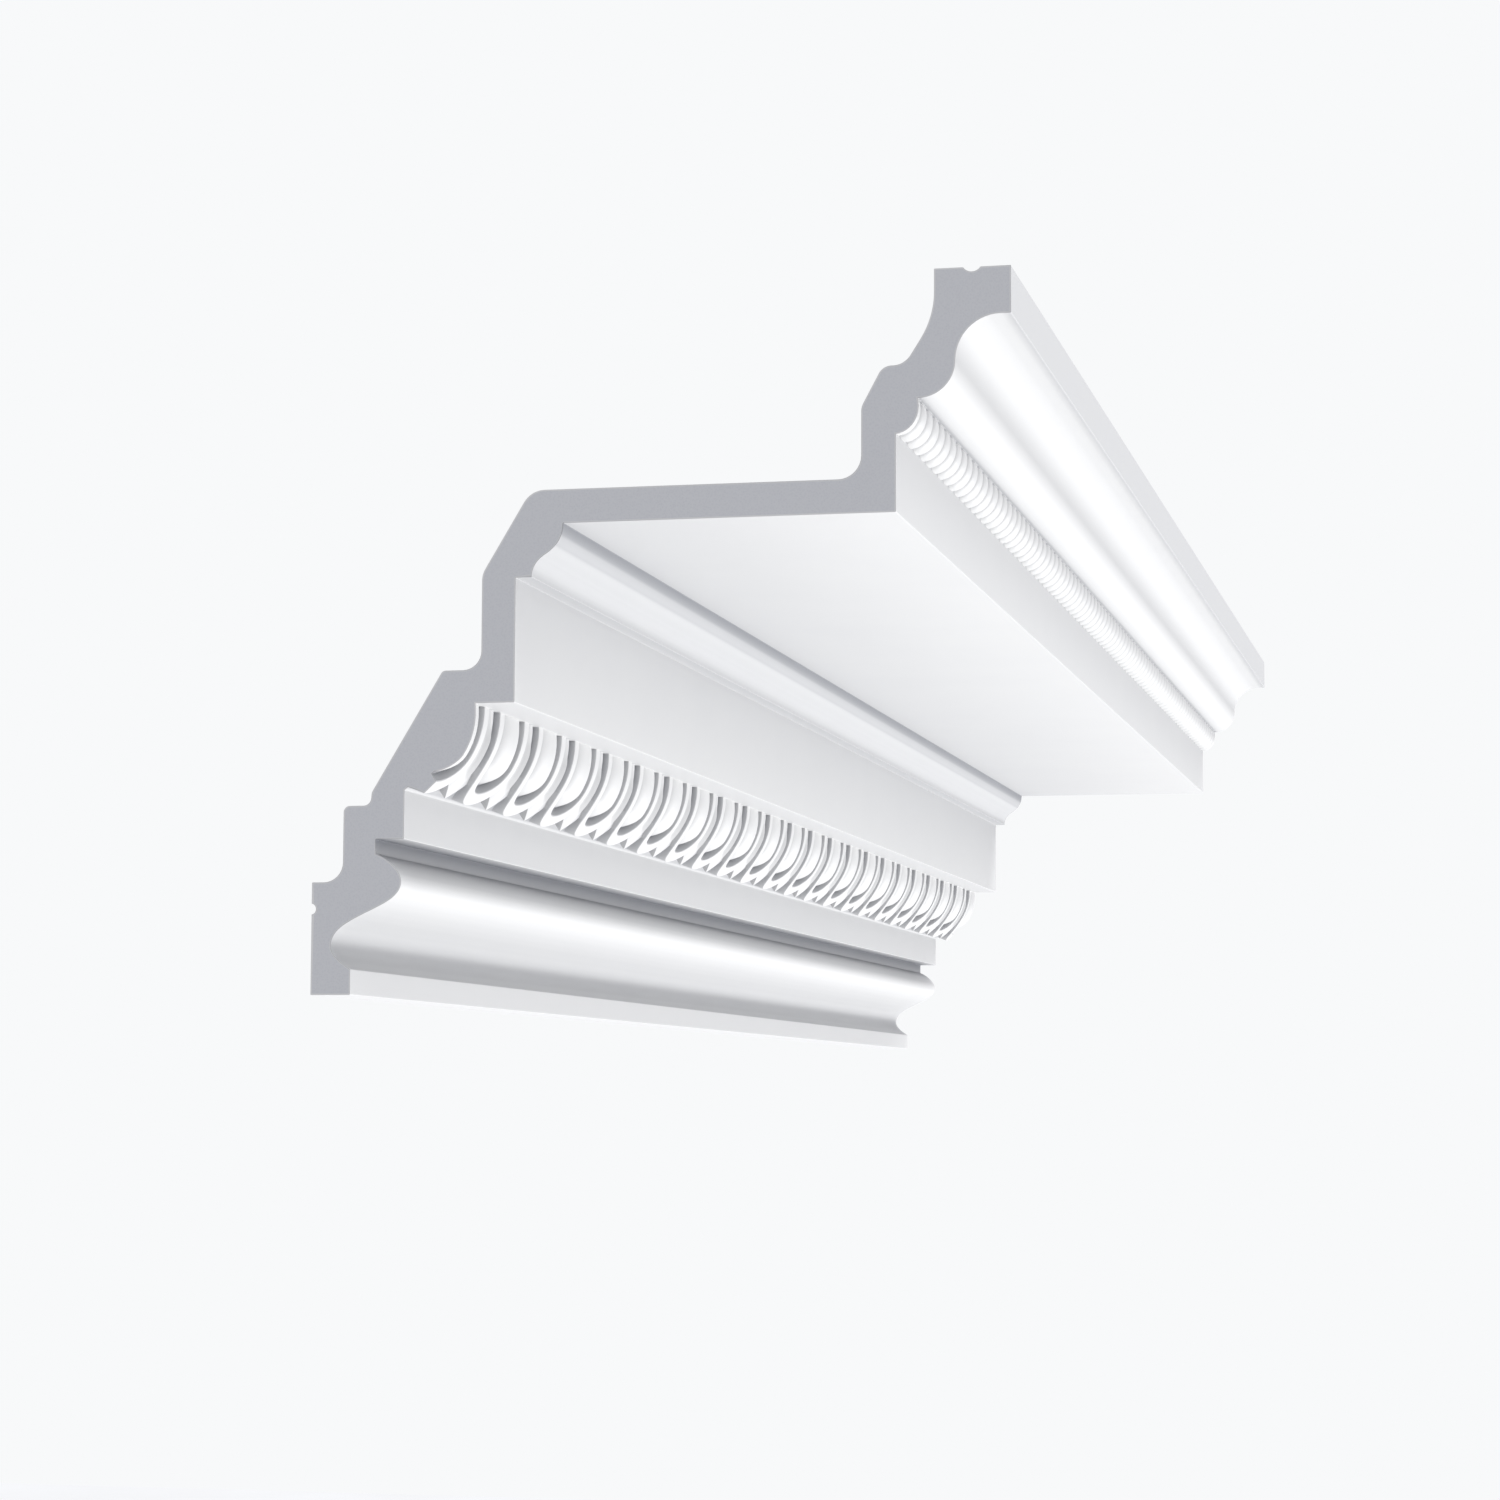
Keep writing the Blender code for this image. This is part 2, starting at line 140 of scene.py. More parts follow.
def extruded(outline, start, end):
    # the outline carried straight along the length, one quad for each of its sides
    along = np.array([start, end])[:, None]
    return place(along, *outline.T[:, None])


def flatStrips(carved, straight, stations):
    # flat faces between a carved edge and a straight edge, one from each station to the next
    order = np.argsort(carved[:, 0])
    carved = carved[order]
    carved = carved[np.concatenate([[True], np.diff(carved[:, 0]) > 1e-6])]
    edge = place(np.array(stations), *straight)
    strips = []
    for first, last in zip(edge, edge[1:]):
        between = carved[(carved[:, 0] > first[0] - 1e-6) & (carved[:, 0] < last[0] + 1e-6)]
        strips.append(np.vstack([first, between, last]))
    return strips


members = {
    "height": 244.0, "projection": 244.0,
    "filletDrop": 16.3, "cymaHollow": 15.4, "cymaRound": 12.4, "cymaWaistOut": 225.0,
    "upperFasciaOut": 204.7, "soffitUp": 161.3, "soffitInner": 88.8,
    "middleOut": 72.0, "middleTop": 142.9, "middleBottom": 99.8, "smallCymaFoot": 77.7,
    "lowerOut": 33.0, "lowerTop": 70.3, "lowerBottom": 53.4, "quirk": (34.3, 71.3),
    "stepOut": 22.9, "stepBottom": 48.4, "nose": 32.2, "hollow": 7.1, "footOut": 14.3, "footTop": 8.8,
    "ceilingInner": 217.8, "wallTop": 38.8,
    "bandEdge": 59.7, "beadFoot": 187.0,   # the flat faces are divided here, just beyond the carving
    "ceilingGroove": (230.7, 3.0), "wallGroove": (29.6, 1.9), "grooveDepth": 1.6,
    "arris": 0.3,   # softened edges, as a cast and sprayed edge has
    "skin": 0.5,    # primer and hard skin, seen as a ring round each sawn face
    # the primer is painted darker where the section is closed in, as painted shade: gain times shelter to
    # this power
    "shelterReach": 45.0, "shelterGain": 1.3, "shelterPower": 1.3,
    # parts of the section (least out, least up, most out, most up) given more painted shade, or less below
    # 0
    "shadeTweaks": {
        "small cyma": (73.0, 142.0, 89.0, 161.5, 0.2),
        "its upper half": (82.0, 153.5, 89.0, 161.5, 0.3),
        "its top": (86.0, 157.5, 89.0, 161.5, 0.35),
        "top fillet": (243.0, 227.0, 244.1, 244.1, 0.35),
        "under the lower fascia": (22.0, 52.6, 25.0, 53.6, 0.7),
        "large cyma": (213.0, 200.0, 242.0, 228.0, -0.12),
    },
    "beadGap": (1.0, 0.4, 0.2),   # painted shade on the cyma's first points, in the narrow gap beside the beads
    "eggGap": (0.4, 0.9),         # painted shade on the lower ledge's last points, beside the eggs
}


def grooveLine(halfWidth, depth):
    # round groove: (along the face, into the face) on the circle through both edges and the bottom
    radius = (halfWidth ** 2 + depth ** 2) / (2 * depth)
    sweep = math.degrees(math.asin(halfWidth / radius))
    line = arc((0.0, 0.0), radius, -90 - sweep, -90 + sweep, 8)
    return np.stack([line[:, 0], depth - radius - line[:, 1]], axis=1)


def outerOutline(m):
    # cyma, fillet, ceiling face, hollow back, wall face, foot, nose, step and lower fascia
    waist = m["height"] - m["filletDrop"] - m["cymaHollow"]
    lower = arc((m["cymaWaistOut"] - m["cymaRound"], waist), m["cymaRound"], -90, 0, 14)
    upper = arc((m["cymaWaistOut"] + m["cymaHollow"], waist), m["cymaHollow"], 180, 90, 14)
    top = m["height"]
    ceiling = grooveLine(m["ceilingGroove"][1], m["grooveDepth"])
    ceiling = np.stack([m["ceilingGroove"][0] - ceiling[:, 0], top - ceiling[:, 1]], axis=1)
    back = np.array([
        (m["ceilingInner"], top), (m["ceilingInner"], 227.5), (207.6, 211.4), (200.2, 211.4),
        (192.8, 197.6), (192.8, 173.1), (77.2, 173.1), (60.0, 144.4), (60.0, 111.3), (46.2, 111.3),
        (21.2, 69.7), (20.8, 65.1), (11.1, 65.1), (11.1, m["wallTop"]), (0.0, m["wallTop"]),
    ])
    radii = np.array([30.0, 7.0, 5.0, 6.0, 8.0, 8.6, 8.0, 6.5, 2.0, 3.0, 2.8, 2.2, 6.8])
    wall = grooveLine(m["wallGroove"][1], m["grooveDepth"])
    wall = np.stack([wall[:, 1], m["wallGroove"][0] - wall[:, 0]], axis=1)
    nose = curve([
        (m["footOut"], m["footTop"]),
        (10.2, 11.5), (m["hollow"], 13.9), (m["hollow"], 16.9),
        (m["hollow"], 22.3), (12.8, 25.0), (20.0, 28.4),
        (27.0, 31.6), (m["nose"], 34.0), (m["nose"], 38.9),
        (m["nose"], 42.4), (27.1, 46.9), (m["stepOut"], m["stepBottom"]),
    ], 12)
    return np.vstack([
        lower, upper[1:], [(m["projection"], top - m["filletDrop"]), (m["projection"], top)],
        ceiling, rounded(back, radii, 8), wall, [(0.0, 0.0), (m["footOut"], 0.0)], nose,
        [(m["stepOut"], m["lowerBottom"]), (m["lowerOut"], m["lowerBottom"]),
         (m["lowerOut"], m["lowerTop"]), m["quirk"]],
    ])


def middleOutline(m):
    # from the ledge over the eggs up the middle fascia, the small cyma, the soffit and the upper fascia
    cyma = curve([
        (m["smallCymaFoot"], m["middleTop"]),
        (m["smallCymaFoot"], 146.6), (79.9, 149.1), (82.5, 150.7),
        (85.9, 152.8), (m["soffitInner"], 155.9), (m["soffitInner"], m["soffitUp"]),
    ], 12)
    return np.vstack([
        [(m["bandEdge"], m["middleBottom"]), (m["middleOut"], m["middleBottom"]),
         (m["middleOut"], m["middleTop"])],
        cyma,
        [(m["upperFasciaOut"], m["soffitUp"]), (m["upperFasciaOut"], m["beadFoot"])],
    ])


# The egg and dart band is drawn flat as (across, down, level, painted shade) and wrapped round the ovolo.
# The painted shade runs from 0 on open surfaces to 1 at the bottom of a groove; the primer's colour darkens
# with it.

eggs = {
    "repeat": 50.0, "firstFromCut": -1.5,
    "axisOut": 25.1, "radius": 33.0, "endAngle": 70.5,
    "waistDown": 17.5,
    # the shell's two outlines: half width at the top, half width at the waist, reach of the round end
    "shellInner": (12.5, 13.0, 13.8), "shellOuter": (18.5, 17.7, 19.7),
    "draft": 0.3, "chamfer": 0.3, "shellLip": 1.2, "innerLip": 0.05, "footGap": 1.5,
    "eggBelly": 0.95, "bellyDown": 15.0,
    "eggSide": -3.0, "eggFoot": -3.2, "sidePower": 3.0, "footPower": 1.6,
    "ground": -2.3, "pit": -2.9, "barb": -1.3,   # levels along the shell's foot
    "dartWidth": 2.5, "dartTop": -1.0, "dartCrest": 0.2, "swell": (3.0, 12.0), "dartFacet": -1.4,
    "taperDown": 24.5, "dartPoint": 29.4, "pointWidth": 0.35,
    "creaseDown": 26.0, "tipDown": 36.8, "tipLevel": 1.0, "tipWall": 0.5,
    "plateLip": (0.12, 0.3),   # how far the arrow plate's chamfer runs down, and its painted shade
    "footPull": 6, "rowSpacing": 0.9,   # powers: the shell's foot reaches down, its last rows close up
    "straightRows": 14, "roundRows": 25, "pitRow": 3, "barbRow": 10,
    "eggShares": (0, 0.14, 0.28, 0.42, 0.55, 0.66, 0.76, 0.85, 0.93, 1.0),   # rings from spine to edge
    "groundShares": (0, 0.3, 0.6, 0.85, 1.0), "facetShares": (0.34, 0.67, 1.0),
    # painted shade on the shell's walls and the ground, and the power of its rise at the egg's edge
    "wallShade": 0.6, "edgePower": 10, "groundShade": 0.7,
    # painted shade from the shell's foot over the middle of the ground to the dart's crest
    "channelShade": (1.0, 0.3, 0.0), "plateShade": (0.5, 0.15, 0.0), "shadeMiddle": 0.55,
}


def shellLine(e, sizes, reachTo=None):
    # straight from the top to the waist, then a quarter of an oval to the bottom of the U
    top, waist, reach = sizes
    share = np.linspace(0, 1, e["straightRows"] + 1)
    angle = np.linspace(0, math.pi / 2, e["roundRows"] + 1)[1:]
    drop = reach * np.sin(angle)
    if reachTo is not None:
        drop = drop + (reachTo - reach - e["waistDown"]) * np.sin(angle) ** e["footPull"]
    across = np.concatenate([top + (waist - top) * share, waist * np.cos(angle)])
    down = np.concatenate([e["waistDown"] * share, e["waistDown"] + drop])
    turn = np.concatenate([share * 0, np.sin(angle) ** 2])   # 0 on the straight sides, 1 at the bottom
    return across, down, turn


def grown(sizes, amount):
    return [size + amount for size in sizes]


def eggEdge(e):
    # the egg's outline at the bottom of its groove, a little short of the shell at the foot
    top, waist, reach = e["shellInner"]
    across, down, turn = shellLine(e, (top - e["draft"], waist - e["draft"], reach - e["footGap"]))
    return across, down, turn, e["eggSide"] + (e["eggFoot"] - e["eggSide"]) * turn


def eggGrid(e):
    # rings from the egg's spine to its edge; the level falls with a power of the share from spine to edge
    across, down, turn, edge = eggEdge(e)
    share = np.array(e["eggShares"])[:, None]
    onSpine = np.minimum(down, e["waistDown"])
    spine = e["eggBelly"] * np.sin(math.pi / 2 * onSpine / e["bellyDown"])
    power = e["sidePower"] + (e["footPower"] - e["sidePower"]) * turn
    level = spine + (edge - spine) * share ** power
    # painted shade, rising steeply near the egg's edge
    paintedShade = share ** e["edgePower"] * np.ones_like(level)
    return np.stack([across * share, onSpine + (down - onSpine) * share, level, paintedShade], axis=2)


def shellGrid(e):
    # from the egg's edge up the inner wall, over the flat rim and down the outer wall to the ground
    inner, outer, chamfer = e["shellInner"], e["shellOuter"], e["chamfer"]
    endDown = math.radians(e["endAngle"]) * e["radius"]
    across, down, turn, edge = eggEdge(e)
    lip = e["shellLip"] * turn
    pitAt, barbAt = e["straightRows"] + e["pitRow"], e["straightRows"] + e["barbRow"]
    foot = np.full_like(turn, e["ground"])
    foot[pitAt: barbAt + 1] = np.linspace(e["pit"], e["barb"], barbAt - pitAt + 1)
    # painted shade along the shell's foot, lighter where the arrow plate starts
    footShade = np.ones_like(turn)
    footShade[pitAt + 1: barbAt + 1] = e["plateShade"][0]
    lines = [
        (across, down, edge, 1.0),
        (*shellLine(e, grown(inner, -e["draft"]))[:2], edge, 1.0),
        (*shellLine(e, inner)[:2], -chamfer, e["wallShade"]),
        (*shellLine(e, grown(inner, chamfer))[:2], lip * e["innerLip"], 0.0),
        (*shellLine(e, grown(outer, -chamfer))[:2], lip, 0.0),
        (*shellLine(e, outer)[:2], lip - chamfer, e["wallShade"]),
        (*shellLine(e, grown(outer, e["draft"]), endDown)[:2], foot, footShade),
    ]
    return np.stack([np.stack(np.broadcast_arrays(*line), axis=1) for line in lines])


def between(e, left, right, leftLevel, edgeLevel, crestLevel, halfWidth, paintedShade):
    # rows of points from the shell's foot over the ground to the dart's facet and its crest
    left = left[:, :2]
    share, facet = np.array([e["groundShares"]]), np.array([e["facetShares"]])
    reach = (right[:, 0] - left[:, 0])[:, None]
    knee = 1 - halfWidth[:, None] / np.maximum(reach, 1e-6)
    along = np.hstack([share * knee, knee + (1 - knee) * facet])
    across = left[:, :1] + (right - left)[:, :1] * along
    down = left[:, 1:2] + (right - left)[:, 1:2] * along
    ground = leftLevel[:, None] + (edgeLevel - leftLevel)[:, None] * share
    slope = edgeLevel[:, None] + (crestLevel - edgeLevel)[:, None] * facet
    # painted shade across the rows, from the foot over the ground to the crest
    shade = np.interp(along, [0.0, e["shadeMiddle"], 1.0], paintedShade)
    return np.stack([across, down, np.hstack([ground, slope]), shade], axis=2)


def smooth(value, start, end):
    # 0 before start, 1 after end, with a soft ramp 3t^2 - 2t^3 between them
    t = np.clip((value - start) / (end - start), 0, 1)
    return t * t * (3 - 2 * t)


def dartGrids(e):
    # straight channel with the dart, the crease to the pits, the arrow plate, its wall, the ground below
    foot = shellGrid(e)[-1]
    half = e["repeat"] / 2
    pitAt, barbAt = e["straightRows"] + e["pitRow"], e["straightRows"] + e["barbRow"]
    endDown = math.radians(e["endAngle"]) * e["radius"]

    def centre(down):
        return np.stack([np.full_like(down, half), down], axis=1)

    def crest(down):
        swell = (e["dartCrest"] - e["dartTop"]) * smooth(down, *e["swell"])
        share = np.clip((down - e["dartPoint"]) / (e["tipDown"] - e["dartPoint"]), 0, 1)
        return e["dartTop"] + swell + (e["tipLevel"] - e["dartCrest"]) * share

    def knee(down):
        taper = smooth(down, e["taperDown"], e["dartPoint"])
        return e["dartFacet"] + (crest(down) - e["dartFacet"]) * taper

    def width(down):
        taper = smooth(down, e["taperDown"], e["dartPoint"])
        return e["dartWidth"] + (e["pointWidth"] - e["dartWidth"]) * taper

    def block(left, down, paintedShade):
        return between(e, left, centre(down), left[:, 2], knee(down), crest(down), width(down), paintedShade)

    channel = block(foot[: pitAt + 1], foot[: pitAt + 1, 1], e["channelShade"])
    down = np.linspace(foot[pitAt, 1], e["creaseDown"], 5)
    crease = block(np.repeat(foot[pitAt: pitAt + 1], 5, axis=0), down, e["plateShade"])
    down = np.linspace(e["creaseDown"], e["tipDown"], barbAt - pitAt + 1)
    plate = block(foot[pitAt: barbAt + 1], down, e["plateShade"])
    lipRun, lipShade = e["plateLip"]
    lip = plate[-1:] + np.array([0, lipRun, -e["chamfer"], lipShade])   # the plate's chamfered edge
    lip[0, 0] = plate[-1, 0]
    left = foot[barbAt + 1:]
    tipFoot = e["tipDown"] + e["tipWall"]
    down = tipFoot + (endDown - tipFoot) * np.linspace(0, 1, len(left)) ** e["rowSpacing"]
    level = np.full(len(left), e["ground"])
    # painted shade on the ground below the arrow plate
    shade = (1.0, e["groundShade"], e["groundShade"])
    ground = between(e, left, centre(down), level, level, level, width(down), shade)
    return [channel, crease, plate, np.vstack([plate[-1:], lip, ground[:1]]), ground]


def onOvolo(e, m, points, centre, side):
    # the band's flat (across, down, level) wrapped round the ovolo's axis
    angle = points[..., 1] / e["radius"]
    reach = e["radius"] + points[..., 2]
    return place(
        centre + side * points[..., 0],
        e["axisOut"] + reach * np.cos(angle),
        m["middleBottom"] - reach * np.sin(angle),
        points[..., 3],
    )


beads = {
    "repeat": 12.5, "firstFromCut": 1.3,
    "centreOut": 204.2, "centreBelowCyma": 2.7,
    "reachOut": 8.3, "reachDown": 9.3, "reachAlong": 7.1,
    "columns": 14, "rows": 12, "rimShare": 0.015,
    # painted shade at the bead's middle, and what its creases add to that
    "bodyShade": (0.0, 0.3), "topShade": (0.4, 1.1), "footShade": (0.3, 0.7),
    "bodyPower": 16, "rimPower": 3,
}


def beadGrid(b, m):
    # an oval drum with rounded ends: its size along the row is the cube root of 1 - (offset / reach)^4.
    # Each column stops at the cyma's foot above and at the fascia below. A narrow row of faces at
    # both stops keeps the painted shade of the gap beside the bead off its face.
    cymaFoot = m["height"] - m["filletDrop"] - m["cymaHollow"] - m["cymaRound"]
    centreUp = cymaFoot - b["centreBelowCyma"]
    offset = b["repeat"] / 2 * np.sin(math.pi / 2 * np.linspace(-1, 1, b["columns"] + 1))[:, None]
    size = np.cbrt(1 - (offset / b["reachAlong"]) ** 4)
    top = np.arcsin(b["centreBelowCyma"] / (b["reachDown"] * size))
    bottom = -np.arccos((m["upperFasciaOut"] - b["centreOut"]) / (b["reachOut"] * size))
    rim = b["rimShare"]
    share = np.concatenate([[0, rim], np.linspace(0, 1, b["rows"] + 1)[1:-1], [1 - rim, 1]])
    angle = top + (bottom - top) * share
    out = b["centreOut"] + b["reachOut"] * size * np.cos(angle)
    up = centreUp + b["reachDown"] * size * np.sin(angle)

    def towardsCrease(paintedShade, power):
        return paintedShade[0] + paintedShade[1] * np.abs(2 * offset / b["repeat"]) ** power

    # painted shade: darker towards the creases and along the top and foot rows
    paintedShade = np.broadcast_to(towardsCrease(b["bodyShade"], b["bodyPower"]), out.shape).copy()
    paintedShade[:, :1] = towardsCrease(b["topShade"], b["rimPower"])
    paintedShade[:, -1:] = towardsCrease(b["footShade"], b["rimPower"])
    return place(offset, out, up, paintedShade)


def castingMesh(m, e, b):
    cells = round(length / e["repeat"]) + 1
    firstEgg = -length / 2 + e["firstFromCut"]
    start = firstEgg - e["repeat"] / 2
    stations = start + e["repeat"] * np.arange(cells + 1)
    firstBead = -length / 2 + b["firstFromCut"]
    beadCount = cells * round(e["repeat"] / b["repeat"])
    beadStations = firstBead + b["repeat"] * (np.arange(beadCount + 1) - 0.5)

    grids, polygons = [], []
    blocks = [eggGrid(e), shellGrid(e)] + dartGrids(e)
    bandTop, bandBottom = [], []
    for cell in range(cells):
        for side in (-1, 1):
            placed = [onOvolo(e, m, block, firstEgg + cell * e["repeat"], side) for block in blocks]
            grids += placed
            egg, shell, channel, ground = placed[0], placed[1], placed[2], placed[-1]
            bandTop += [egg[:, 0], shell[:, 0], channel[0]]
            bandBottom += [ground[-1]]
    bead = beadGrid(b, m)
    shifts = (firstBead + b["repeat"] * np.arange(beadCount)) * mm
    beadGrids = [bead + [shift, 0, 0, 0] for shift in shifts]
    grids += beadGrids

    outer = softened(outerOutline(m), m["arris"])
    middle = softened(middleOutline(m), m["arris"])
    loop = np.vstack([outer, middle])
    # painted shade in the section: darker primer where it is closed in, adjusted part by part, and in the
    # gaps beside the beads and eggs
    closedIn = shelter(loop, loop, m["shelterReach"])
    paintedShade = np.minimum(m["shelterGain"] * closedIn ** m["shelterPower"], 1.0)
    for outFrom, upFrom, outTo, upTo, moreShade in m["shadeTweaks"].values():
        inPart = ((loop >= (outFrom, upFrom)) & (loop <= (outTo, upTo))).all(axis=1)
        paintedShade = np.maximum(paintedShade + moreShade * inPart, 0)
    paintedShade[: len(m["beadGap"])] = m["beadGap"]
    paintedShade[len(outer) - len(m["eggGap"]): len(outer)] = m["eggGap"]
    outer = np.column_stack([outer, paintedShade[: len(outer)]])
    middle = np.column_stack([middle, paintedShade[len(outer):]])
    grids.append(extruded(outer[1:-1], start, stations[-1]))
    grids.append(extruded(middle[1:-1], start, stations[-1]))
    # the four plain sides beside the carving share its stations along one edge
    for line, along in ((outer[:2], beadStations), (outer[-2:][::-1], stations),
                        (middle[:2], stations), (middle[-2:][::-1], beadStations)):
        edge = place(np.array(along), *line[0])
        ends = place(np.array([start, stations[-1]]), *line[1])
        polygons.append(np.vstack([edge, ends[::-1]]))
    polygons += flatStrips(np.vstack([grid[:, 0] for grid in beadGrids]), outer[0], beadStations)
    polygons += flatStrips(np.vstack([grid[:, -1] for grid in beadGrids]), middle[-1], beadStations)
    polygons += flatStrips(np.vstack(bandTop), middle[0], stations)
    polygons += flatStrips(np.vstack(bandBottom), outer[-1], stations)

    points, faces, count = [], [], 0
    for grid in grids:
        faces += (gridFaces(*grid.shape[:2]) + count).tolist()
        points.append(grid.reshape(-1, 4))
        count += len(points[-1])
    for polygon in polygons:
        faces.append(list(range(count, count + len(polygon))))
        points.append(polygon)
        count += len(polygon)
    points = np.vstack(points)
    data = bpy.data.meshes.new("cornice_casting")
    data.from_pydata(points[:, :3].tolist(), [], faces)
    # the painted shade amount of each point, which the primer's colour reads
    paintedShade = data.attributes.new("paintedShade", "FLOAT", "POINT")
    paintedShade.data.foreach_set("value", points[:, 3].astype(np.float32))
    return data


def insetLoop(loop, depth):
    # each point moves inwards along its mitre (a + b) / (1 + a.b); one left too near the outline is dropped
    side = np.roll(loop, -1, axis=0) - loop
    side /= np.linalg.norm(side, axis=1)[:, None]
    inward = np.stack([-side[:, 1], side[:, 0]], axis=1)
    turned = np.cross(loop, np.roll(loop, -1, axis=0)).sum() < 0
    inward = -inward if turned else inward
    before = np.roll(inward, 1, axis=0)
    spread = np.maximum(1 + (before * inward).sum(axis=1), 0.3)   # limited, so no mitre gets too long
    mitre = (before + inward) / spread[:, None]
    moved = loop + mitre * depth
    start, reach = loop[None], (np.roll(loop, -1, axis=0) - loop)[None]
    share = ((moved[:, None] - start) * reach).sum(axis=2) / (reach ** 2).sum(axis=2)
    nearest = start + reach * np.clip(share, 0, 1)[..., None]
    distance = np.linalg.norm(moved[:, None] - nearest, axis=2).min(axis=1)
    return moved[distance > 0.99 * depth]


def sawnFace(mesh, rim, skin):
    # a ring of primer and hard skin along the outline, and bare foam inside it
    edge, onRim = rim[0], set(rim)
    order = [edge.verts[0]]
    while len(order) < len(rim):
        order.append(edge.other_vert(order[-1]))
        edge = next(item for item in order[-1].link_edges if item in onRim and item is not edge)
    loop = np.array([vert.co[1:] for vert in order])
    inner = [mesh.verts.new((order[0].co.x, y, z)) for y, z in insetLoop(loop, skin).tolist()]
    innerEdges = [mesh.edges.new(pair) for pair in zip(inner, inner[1:] + inner[:1])]
    bmesh.ops.triangle_fill(mesh, use_beauty=True, edges=rim + innerEdges)
    foam = mesh.faces.new(inner)
    foam.material_index = 1


def closeEnds(data, skin):
    # merge the shared edges, saw both ends square and close each sawn face
    mergeWithin, noLength = 2e-6, 1e-7   # metres
    mesh = bmesh.new()
    mesh.from_mesh(data)
    bmesh.ops.remove_doubles(mesh, verts=mesh.verts, dist=mergeWithin)
    bmesh.ops.dissolve_degenerate(mesh, edges=mesh.edges, dist=noLength)
    bmesh.ops.triangulate(mesh, faces=[face for face in mesh.faces if len(face.verts) > 4])
    for end in (-length / 2 * mm, length / 2 * mm):
        cut = bmesh.ops.bisect_plane(
            mesh, geom=mesh.verts[:] + mesh.edges[:] + mesh.faces[:], dist=noLength,
            plane_co=(end, 0, 0), plane_no=(math.copysign(1, end), 0, 0), clear_outer=True,
        )
        sawnFace(mesh, [item for item in cut["geom_cut"] if isinstance(item, bmesh.types.BMEdge)], skin)
    mesh.normal_update()
    bmesh.ops.recalc_face_normals(mesh, faces=mesh.faces)
    openEdges = sum(1 for edge in mesh.edges if len(edge.link_faces) != 2)
    print("casting:", len(mesh.faces), "faces,", openEdges, "open edges")
    mesh.to_mesh(data)
    mesh.free()


casting = castingMesh(members, eggs, beads)
closeEnds(casting, members["skin"] * mm)
casting.polygons.foreach_set("use_smooth", np.ones(len(casting.polygons), dtype=bool))
hardEdgeFrom = 30   # degrees between two faces
casting.set_sharp_from_angle(angle=math.radians(hardEdgeFrom))
cornice = bpy.data.objects.new("cornice_casting", casting)
bpy.context.scene.collection.objects.link(cornice)
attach(cornice, "root")
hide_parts("cornice_length")
casting.calc_loop_triangles()
print("casting built,", len(casting.loop_triangles), "triangles")


def linear(code):
    # sRGB hex to linear red, green, blue, alpha
    values = np.array([int(code[i: i + 2], 16) / 255 for i in (0, 2, 4)])
    values = np.where(values <= 0.04045, values / 12.92, ((values + 0.055) / 1.055) ** 2.4)
    return (*values.tolist(), 1.0)


def addNode(tree, kind, settings=None, links=None):
    node = tree.nodes.new(kind)
    for name, value in (settings or {}).items():
        if name in node.inputs:
            node.inputs[name].default_value = value
        else:
            setattr(node, name, value)
    for socket, source in (links or {}).items():
        tree.links.new(source, node.inputs[socket])
    return node


def newMaterial(name):
    material = bpy.data.materials.new(name)
    material.use_nodes = True
    material.node_tree.nodes.clear()
    return material, material.node_tree


primer = {
    # white and second are the primer's own faint patches; the third colour is the grey of the painted shade
    "white": "DDDDDC", "second": "D9D9D9", "shadeGrey": "A6A7AA",
    "cloud": 60.0,      # mm, size of the faint patches where the spray passes overlap
    "roughness": (0.46, 0.54),
    "peel": 1.6,        # mm; the real orange peel of about 0.5 mm is too fine to show
    "peelHeight": 0.012, "waveSize": 35.0, "waveHeight": 0.03,   # mm
}
foam = {
    "body": "CFD0D3", "cell": "CACBCF",
    "cellSize": 0.8,    # mm; the real cells of about 0.3 mm are too fine to show
    "cellHeight": 0.015, "toothPitch": 2.4, "toothHeight": 0.01,   # mm
    "poreEdge": (0.15, 0.6),   # from the pore's middle to its rim, as shares of a cell
    "roughness": 0.85,
}


def perMetre(size):
    # texture scale that makes one cell this many millimetres wide
    return 1000.0 / size


